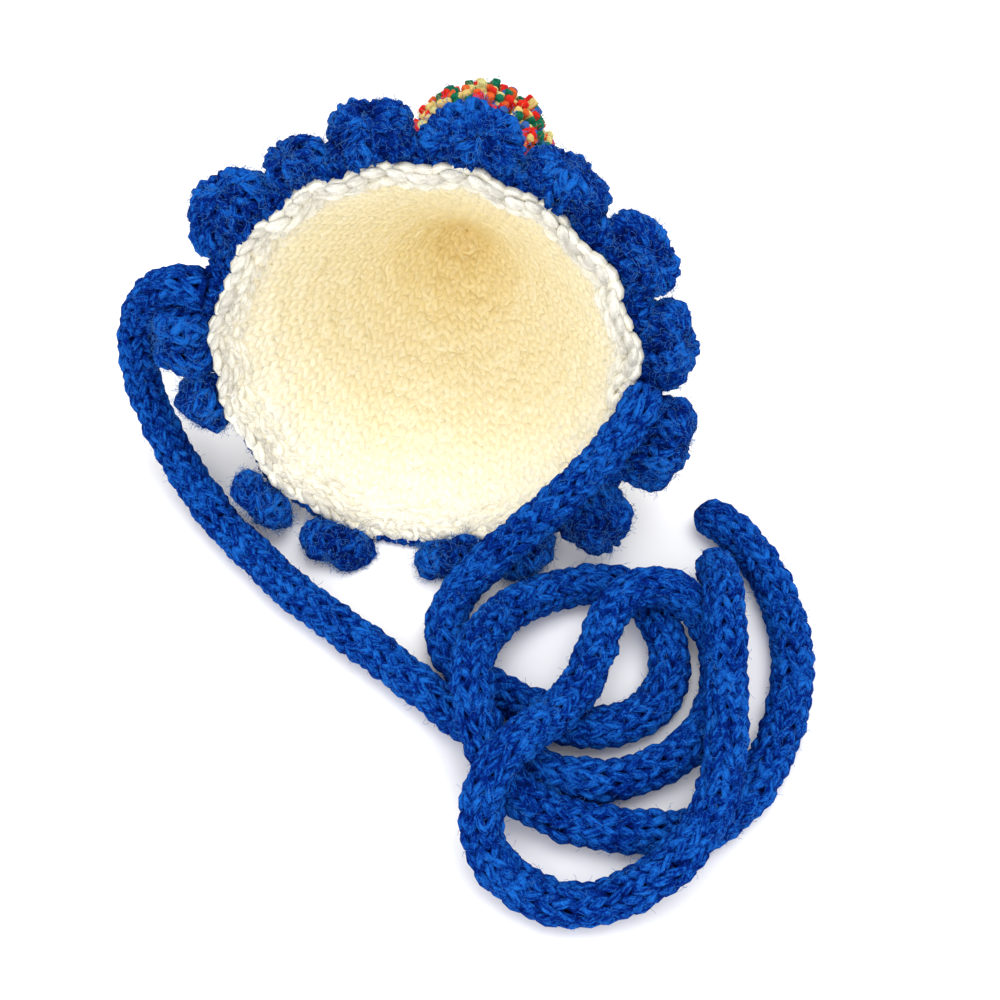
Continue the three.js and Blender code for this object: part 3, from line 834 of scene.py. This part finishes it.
# Width along the rim, length away from it, depth through it, how far the foot reaches back over the band,
# and where the drawn-in top points
BOBBLE_SIZES = (
    (19.5, 9.2, 13, 4.5, (0.0, 0.7, -0.7)),
    (21, 9.8, 13, 4.5, (-0.1, 0.35, -0.9)),
    (19.5, 8.6, 12, 4.5, (0.2, 0.8, -0.5)),
    (20.5, 10.5, 12, 2.5, (-0.3, 0.5, -0.8)),
    (20, 9, 11, 2.5, (0.0, 0.9, -0.4)),
    (24, 13, 11, 2.5, (0.1, 0.9, -0.3)),
    (17, 10.5, 10, 2.5, (0.0, 0.9, -0.4)),
    (15.5, 8.5, 9, 2.5, (0.0, 0.9, 0.3)),
    (15.5, 8, 9, 2.5, (0.0, 1.0, 0.2)),
    (17, 9, 9, 2.5, (0.0, 1.0, 0.2)),
    (16.5, 7.8, 8, 2.5, (0.3, 0.9, -0.2)),
    (15.5, 7.2, 10, 4, (0.4, 0.8, -0.4)),
    (19, 10.4, 11, 5, (0.0, 0.9, -0.5)),
    (20.5, 10.2, 12, 5, (-0.3, 0.8, -0.5)),
    (13.5, 7, 11, 4.5, (0.2, 0.8, -0.6)),
)


def pad_point(direction, half):
    """A point on a full soft pad in a direction, and the way its surface faces there."""
    sphere = unit(direction)
    size = np.sum(np.abs(sphere) ** BOBBLE_FULLNESS, axis=-1, keepdims=True)
    p = sphere * size ** (-1 / BOBBLE_FULLNESS)
    face = unit(np.sign(p) * np.abs(p) ** (BOBBLE_FULLNESS - 1) / half)
    wide = 1 + BOBBLE_FLARE * np.maximum(-p[..., 1:2], 0)
    return p * half * np.concatenate([wide, np.ones_like(wide), np.ones_like(wide)], axis=-1), face


def knit_bobble(number, angle, width, length, depth, tuck, top, rng):
    """One bobble: rounds of stitches from its drawn-in top to its foot, over a dark core painted as the shade
    between them.
    """
    start, along, out, through = (v[0] for v in rim_frame(np.array([math.radians(angle)])))
    centre = start + out * (BOBBLE_ROOT + (length - tuck) / 2 * MM)
    centre[2] = max(centre[2], BOBBLE_REST)
    half = np.array((width, length + tuck, depth)) / 2 * MM - BOBBLE_INSET
    axes = np.stack([along, out, through])
    pole = unit(np.array(top))
    east = unit(np.cross(pole, (0.0, 0.3, 1.0)))
    north = np.cross(pole, east)

    def at(polar, turn):
        round_pole = np.cos(turn)[..., None] * east + np.sin(turn)[..., None] * north
        return pad_point(np.cos(polar)[..., None] * pole + np.sin(polar)[..., None] * round_pole, half)

    polars = np.linspace(0, math.pi, BOBBLE_RINGS)
    grid, _ = at(*np.meshgrid(polars, BOBBLE_TURNS, indexing="ij"))
    descent = np.linalg.norm(np.diff(grid, axis=0), axis=2).mean(axis=1)
    descent = np.append(0, np.cumsum(descent))
    rows = max(4, round(descent[-1] / BOBBLE_ROW))
    row_height = descent[-1] / rows
    phase = rng.uniform(0, TURN, 3)
    parts, lines, faces = [], [], []
    for row in range(rows):
        middle = (row + 0.5) * row_height
        ring, _ = at(np.full_like(BOBBLE_TURNS, np.interp(middle, descent, polars)), BOBBLE_TURNS)
        girth = np.linalg.norm(ring - np.roll(ring, 1, axis=0), axis=1).sum()
        count = max(4, round(girth / BOBBLE_STITCH))
        across, rise, stand = stitch_row(count, closed=True)
        steps = len(across)
        turn = (across + BOBBLE_UNEVEN_ROUND * uneven(rng, count, steps)) / count * TURN + BOBBLE_TWIST * row
        down = middle - row_height * LOOP_REACH * rise + BOBBLE_UNEVEN_DOWN * uneven(rng, count, steps)
        polar = np.interp(np.clip(down, ROUND_END, descent[-1] - ROUND_END), descent, polars)
        point, face = at(polar, turn)
        wave = np.sin(point * LUMP_WAVES + phase).sum(axis=1)
        proud = BOBBLE_STAND * stand + BOBBLE_LUMPS * wave + BOBBLE_UNEVEN_OUT * uneven(rng, count, steps)
        proud -= BOBBLE_DIMPLE * np.exp(-((polar / DIMPLE_SPREAD) ** 2))
        yarn = centre + (point + face * proud[:, None]) @ axes
        yarn[:, 2] = np.maximum(yarn[:, 2], BOBBLE_LOWEST)
        facing = face @ axes
        thick = BOBBLE_YARN * (1 + BOBBLE_UNEVEN_YARN * uneven(rng, count, steps))
        tone = BOBBLE_UNEVEN_DYE * uneven(rng, count, steps)
        tone += BOBBLE_STAND_SHADING * stand + BOBBLE_LUMP_SHADING * wave
        parts.append(strand(yarn, facing, thick, True, tone))
        lines.append(yarn)
        faces.append(facing)

    # A dark core inside, painted shade between the stitches
    core = bmesh.new()
    bmesh.ops.create_uvsphere(core, u_segments=16, v_segments=10, radius=1)
    inner, _ = pad_point(np.array([v.co for v in core.verts]), half - BOBBLE_CORE_INSET)
    inner = centre + inner @ axes
    inner[:, 2] = np.maximum(inner[:, 2], BOBBLE_CORE_LOWEST)
    corners = [[v.index for v in f.verts] for f in core.faces]
    core.free()
    quads = np.array([c for c in corners if len(c) == 4])
    parts.append({
        "points": inner, "quads": quads, "quad_uv": np.zeros((len(quads), 4, 2)),
        "caps": np.array([c for c in corners if len(c) == 3]),
        "tone": np.full(len(inner), CORE_SHADE_TONE), "finish": 0,
    })
    parts.append(fluff(rng, np.concatenate(lines), np.concatenate(faces), BOBBLE_FIBRES, BOBBLE_FLUFF))
    name = f"bobble_{number:02d}"
    piece(f"{name}_knob", yarn_mesh(name, parts), [blue_wool, blue_fluff], "edging_knit", name)


bobble_rng = np.random.default_rng(41)
for number, (angle, size) in enumerate(zip(BOBBLE_ANGLES, BOBBLE_SIZES), start=1):
    knit_bobble(number, angle, *size, bobble_rng)

# Pompom
# Short lengths of red, yellow, green, blue and orange yarn, bound in the middle and trimmed to a ball.
# It hangs from the tip of the crown and lies behind it, pressed a little against crown and floor.
POMPOM_CENTRE = np.array((-0.2, 54.8, 21.2)) * MM
POMPOM_RADIUS = 20.2 * MM
POMPOM_ROOT = 12 * MM  # where the strands start, inside the core
POMPOM_STRANDS = 1050
POMPOM_YARN = 1.32 * MM
POMPOM_LOWEST = 1.2 * MM
POMPOM_STEPS = np.array((0, 0.3, 0.6, 0.85, 0.96, 1))  # places along a strand, and how thick it is there
POMPOM_SWELL = np.array((0.8, 0.85, 0.92, 1.0, 1.0, 0.78))
# How uneven the ball is: in direction and cut, the share that is left longer, by how much, and bent ends
POMPOM_UNEVEN_WAY = 0.05
POMPOM_UNEVEN_CUT = 0.8 * MM
POMPOM_LONGER_SHARE = 0.07
POMPOM_LONGER = 1.6 * MM
POMPOM_SWAY = 0.5 * MM
CROWN_CLEAR = 3.2 * MM  # distance from the middle of the crown's fabric, and from its mouth at the tip
CROWN_CLEAR_TIP = 97.5 * MM
SHORTEST = 0.5  # share of its length that a strand keeps where the crown is in its way
SHORTER_STEPS = 26
POMPOM_FLUFF = 2.6 * MM
# A dark green ball inside the strands, painted shade between them
POMPOM_CORE = 16.5 * MM
POMPOM_CORE_SHADE = -0.4
POMPOM_CORE_COLOUR = 2
# Red, yellow, green, blue, orange and pale yellow, and how much of each there is
POMPOM_COLOURS = (
    (0.68, 0.022, 0.014, 1), (0.69, 0.52, 0.18, 1), (0.009, 0.15, 0.08, 1), (0.035, 0.12, 0.4, 1),
    (0.68, 0.11, 0.025, 1), (0.66, 0.62, 0.26, 1),
)
POMPOM_SHARES = np.array((0.27, 0.21, 0.2, 0.12, 0.09, 0.11))

pompom_rng = np.random.default_rng(51)
order = np.arange(POMPOM_STRANDS)
height = 1 - (2 * order + 1) / POMPOM_STRANDS
swirl = order * math.pi * (3 - math.sqrt(5))
ring_radius = np.sqrt(1 - height**2)
ways = np.stack([ring_radius * np.cos(swirl), ring_radius * np.sin(swirl), height], axis=1)
ways = unit(ways + POMPOM_UNEVEN_WAY * pompom_rng.normal(size=ways.shape))
reach = POMPOM_RADIUS + POMPOM_UNEVEN_CUT * pompom_rng.normal(size=POMPOM_STRANDS)
reach[pompom_rng.random(POMPOM_STRANDS) < POMPOM_LONGER_SHARE] += POMPOM_LONGER
down = ways[:, 2] < 0
reach[down] = np.minimum(reach[down], (POMPOM_CENTRE[2] - POMPOM_LOWEST) / -ways[down, 2])


def in_crown(points):
    """Which points lie in the crown or against it."""
    local = points - MOUTH_CENTRE
    along = local @ hat_axis
    curl = (along / TIP_MARK) ** 2
    sideways = local @ across_mouth - TIP_DRIFT * curl
    upwards = (local @ mouth_rise - TIP_LIFT * curl) / OVAL
    wall = np.interp(along, CROWN_ALONG, CROWN_RADIUS) + CROWN_CLEAR
    return (np.hypot(sideways, upwards) < wall) & (along < CROWN_CLEAR_TIP)


kept = np.zeros(POMPOM_STRANDS)
for share in np.linspace(1.0, SHORTEST, SHORTER_STEPS):
    free = ~in_crown(POMPOM_CENTRE + ways * reach[:, None] * share)
    kept = np.where((kept == 0) & free, share, kept)
reach *= np.maximum(kept, SHORTEST)
sway = pompom_rng.normal(size=(POMPOM_STRANDS, 3)) * POMPOM_SWAY
cut = POMPOM_ROOT + (reach - POMPOM_ROOT)[:, None] * POMPOM_STEPS
bent = sway[:, None] * (POMPOM_STEPS**2)[None, :, None]
pompom_lines = POMPOM_CENTRE + ways[:, None] * cut[:, :, None] + bent
pompom_lines[:, :, 2] = np.maximum(pompom_lines[:, :, 2], POMPOM_YARN)
pompom_faces = unit(np.cross(ways, pompom_rng.normal(size=ways.shape)))
pompom_faces = np.repeat(pompom_faces[:, None], len(POMPOM_STEPS), axis=1)
picked = pompom_rng.choice(len(POMPOM_COLOURS), POMPOM_STRANDS, p=POMPOM_SHARES)
pompom_parts = []
for colour in range(len(POMPOM_COLOURS)):
    own = picked == colour
    swell = POMPOM_YARN * POMPOM_SWELL
    pompom_parts.append(strand(pompom_lines[own], pompom_faces[own], swell, finish=colour))
    ends, outward = pompom_lines[own][:, -2], ways[own]
    pompom_parts.append(fluff(pompom_rng, ends, outward, 2 * len(ends), POMPOM_FLUFF, finish=colour))
core = bmesh.new()
bmesh.ops.create_icosphere(core, subdivisions=3, radius=POMPOM_CORE)
core_points = np.array([v.co for v in core.verts]) + POMPOM_CENTRE
core_faces = np.array([[v.index for v in f.verts] for f in core.faces])
core.free()
pompom_parts.append({
    "points": core_points, "quads": np.empty((0, 4), dtype=int), "quad_uv": np.empty((0, 4, 2)),
    "caps": core_faces, "tone": np.full(len(core_points), POMPOM_CORE_SHADE), "finish": POMPOM_CORE_COLOUR,
})
pompom_wools = []
for i, colour in enumerate(POMPOM_COLOURS):
    dark = tuple(0.45 * c for c in colour[:3]) + (1,)
    pale = tuple(min(1.0, 1.3 * c + 0.02) for c in colour[:3]) + (1,)
    stops = ((0.1, dark), (0.5, colour), (0.95, pale))
    pompom_wools.append(wool(f"pompom_wool_{i + 1}", stops, mottle=1.0, hair_highlight=0.2))
piece("pompom_ball", yarn_mesh("pompom", pompom_parts), pompom_wools, "pompom_yarn", "pompom")

# Floor and light
# A plain pale sheet under the hat, and white surroundings.
# A wide soft lamp hangs above it, and a smaller one in front fills the mouth.
FLOOR_SIZE = 3
FLOOR_COLOUR = (0.93, 0.935, 0.945, 1)
SURROUNDINGS_COLOUR = (1.0, 0.985, 0.97, 1)
SURROUNDINGS_STRENGTH = 1.1
LAMP_TARGET = Vector((0.02, -0.05, 0.0))

floor_bm = bmesh.new()
bmesh.ops.create_grid(floor_bm, x_segments=1, y_segments=1, size=FLOOR_SIZE)
floor_mesh = bpy.data.meshes.new("floor")
floor_bm.to_mesh(floor_mesh)
floor_bm.free()
floor = bpy.data.objects.new("floor", floor_mesh)
bpy.context.collection.objects.link(floor)
floor_finish = bpy.data.materials.new("pale_floor")
floor_finish.use_nodes = True
floor_shader = floor_finish.node_tree.nodes["Principled BSDF"]
floor_shader.inputs["Base Color"].default_value = FLOOR_COLOUR
floor_shader.inputs["Roughness"].default_value = 0.7
floor_mesh.materials.append(floor_finish)

world = bpy.data.worlds.new("white_surroundings")
world.use_nodes = True
surroundings = world.node_tree.nodes["Background"]
surroundings.inputs["Color"].default_value = SURROUNDINGS_COLOUR
surroundings.inputs["Strength"].default_value = SURROUNDINGS_STRENGTH
bpy.context.scene.world = world


def soft_lamp(name, size, energy, place):
    """A round lamp that points at the hat."""
    lamp_data = bpy.data.lights.new(name, "AREA")
    lamp_data.shape = "DISK"
    lamp_data.size = size
    lamp_data.energy = energy
    lamp = bpy.data.objects.new(name, lamp_data)
    lamp.location = place
    lamp.rotation_euler = (LAMP_TARGET - lamp.location).to_track_quat("-Z", "Y").to_euler()
    bpy.context.collection.objects.link(lamp)


soft_lamp("high_lamp", size=0.9, energy=6.0, place=(0.2, 0.15, 1.1))
soft_lamp("front_lamp", size=0.6, energy=2.9, place=(-0.05, -0.8, 0.6))
bpy.context.scene.view_settings.view_transform = "Standard"
bpy.context.scene.cycles.diffuse_bounces = 12
